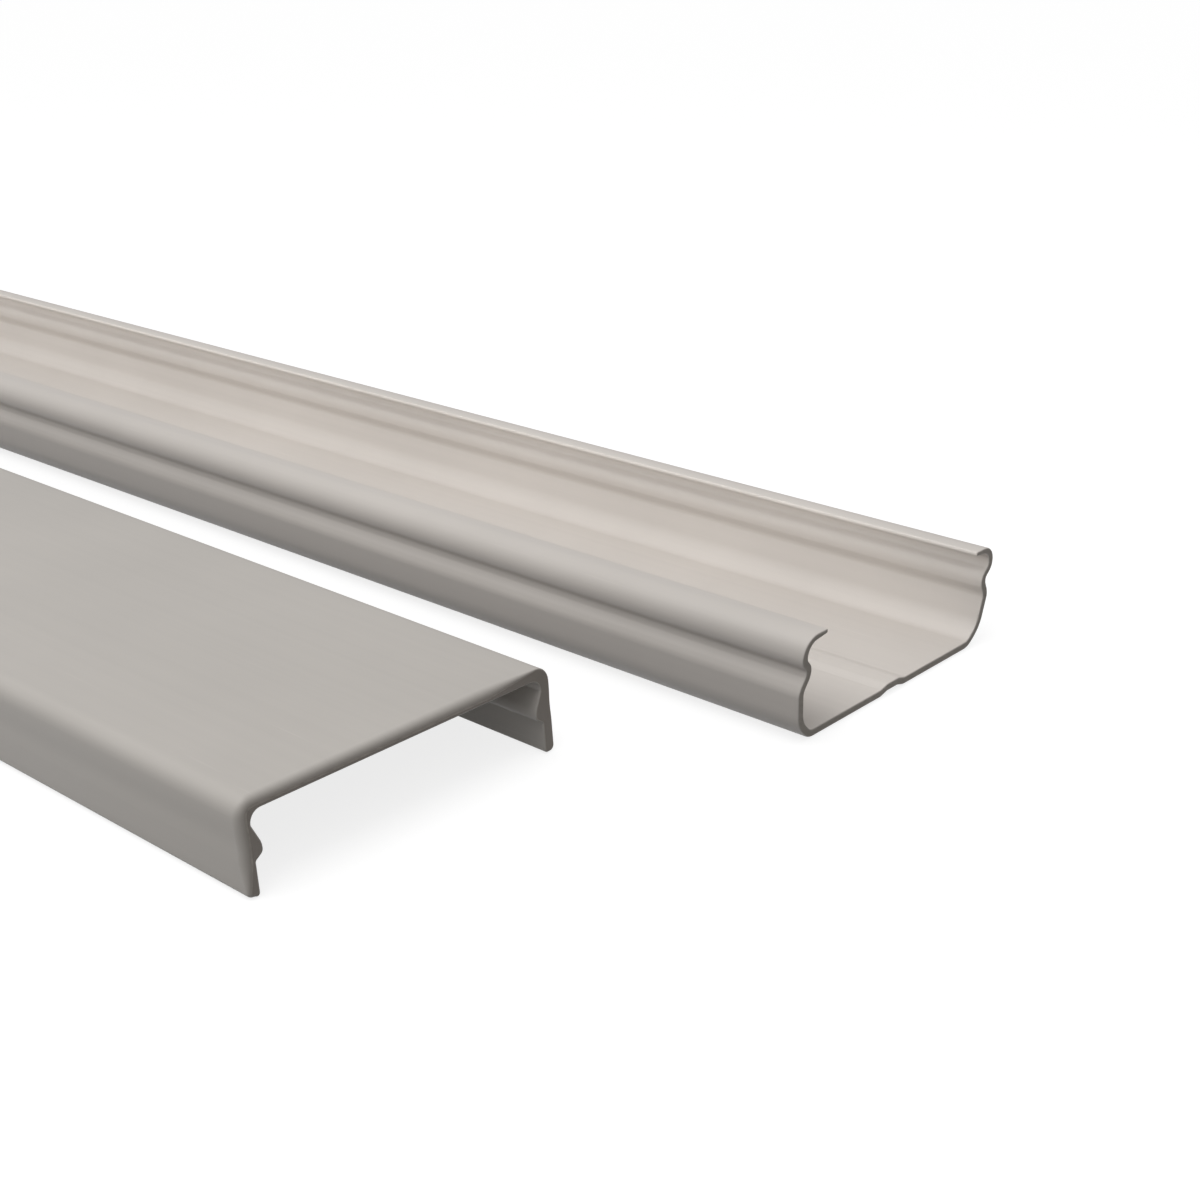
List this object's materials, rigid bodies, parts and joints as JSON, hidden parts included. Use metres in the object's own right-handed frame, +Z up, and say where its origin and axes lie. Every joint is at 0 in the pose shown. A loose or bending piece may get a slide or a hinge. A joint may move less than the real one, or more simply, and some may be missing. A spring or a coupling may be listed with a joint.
{
  "type": "cord cover raceway",
  "caption": "Rigid plastic cord cover raceway stock: a shallow lipped channel with a centre rib, and the snap cover lying beside it.",
  "frame": {"origin": "on the floor, in the middle of the area that the pair covers", "axes": "+X along the stock, towards the ends seen near the camera; +Y across, from the cover to the channel; +Z up"},
  "size_m": [1.552, 0.1332, 0.0178],
  "materials": {
    "channel_plastic": "satin extruded rigid PVC, warm light grey",
    "cover_plastic": "satin extruded rigid PVC, warm light grey"
  },
  "bodies": {
    "root": {"base_channel": "channel_plastic", "snap_cover": "cover_plastic"}
  },
  "joints": []
}
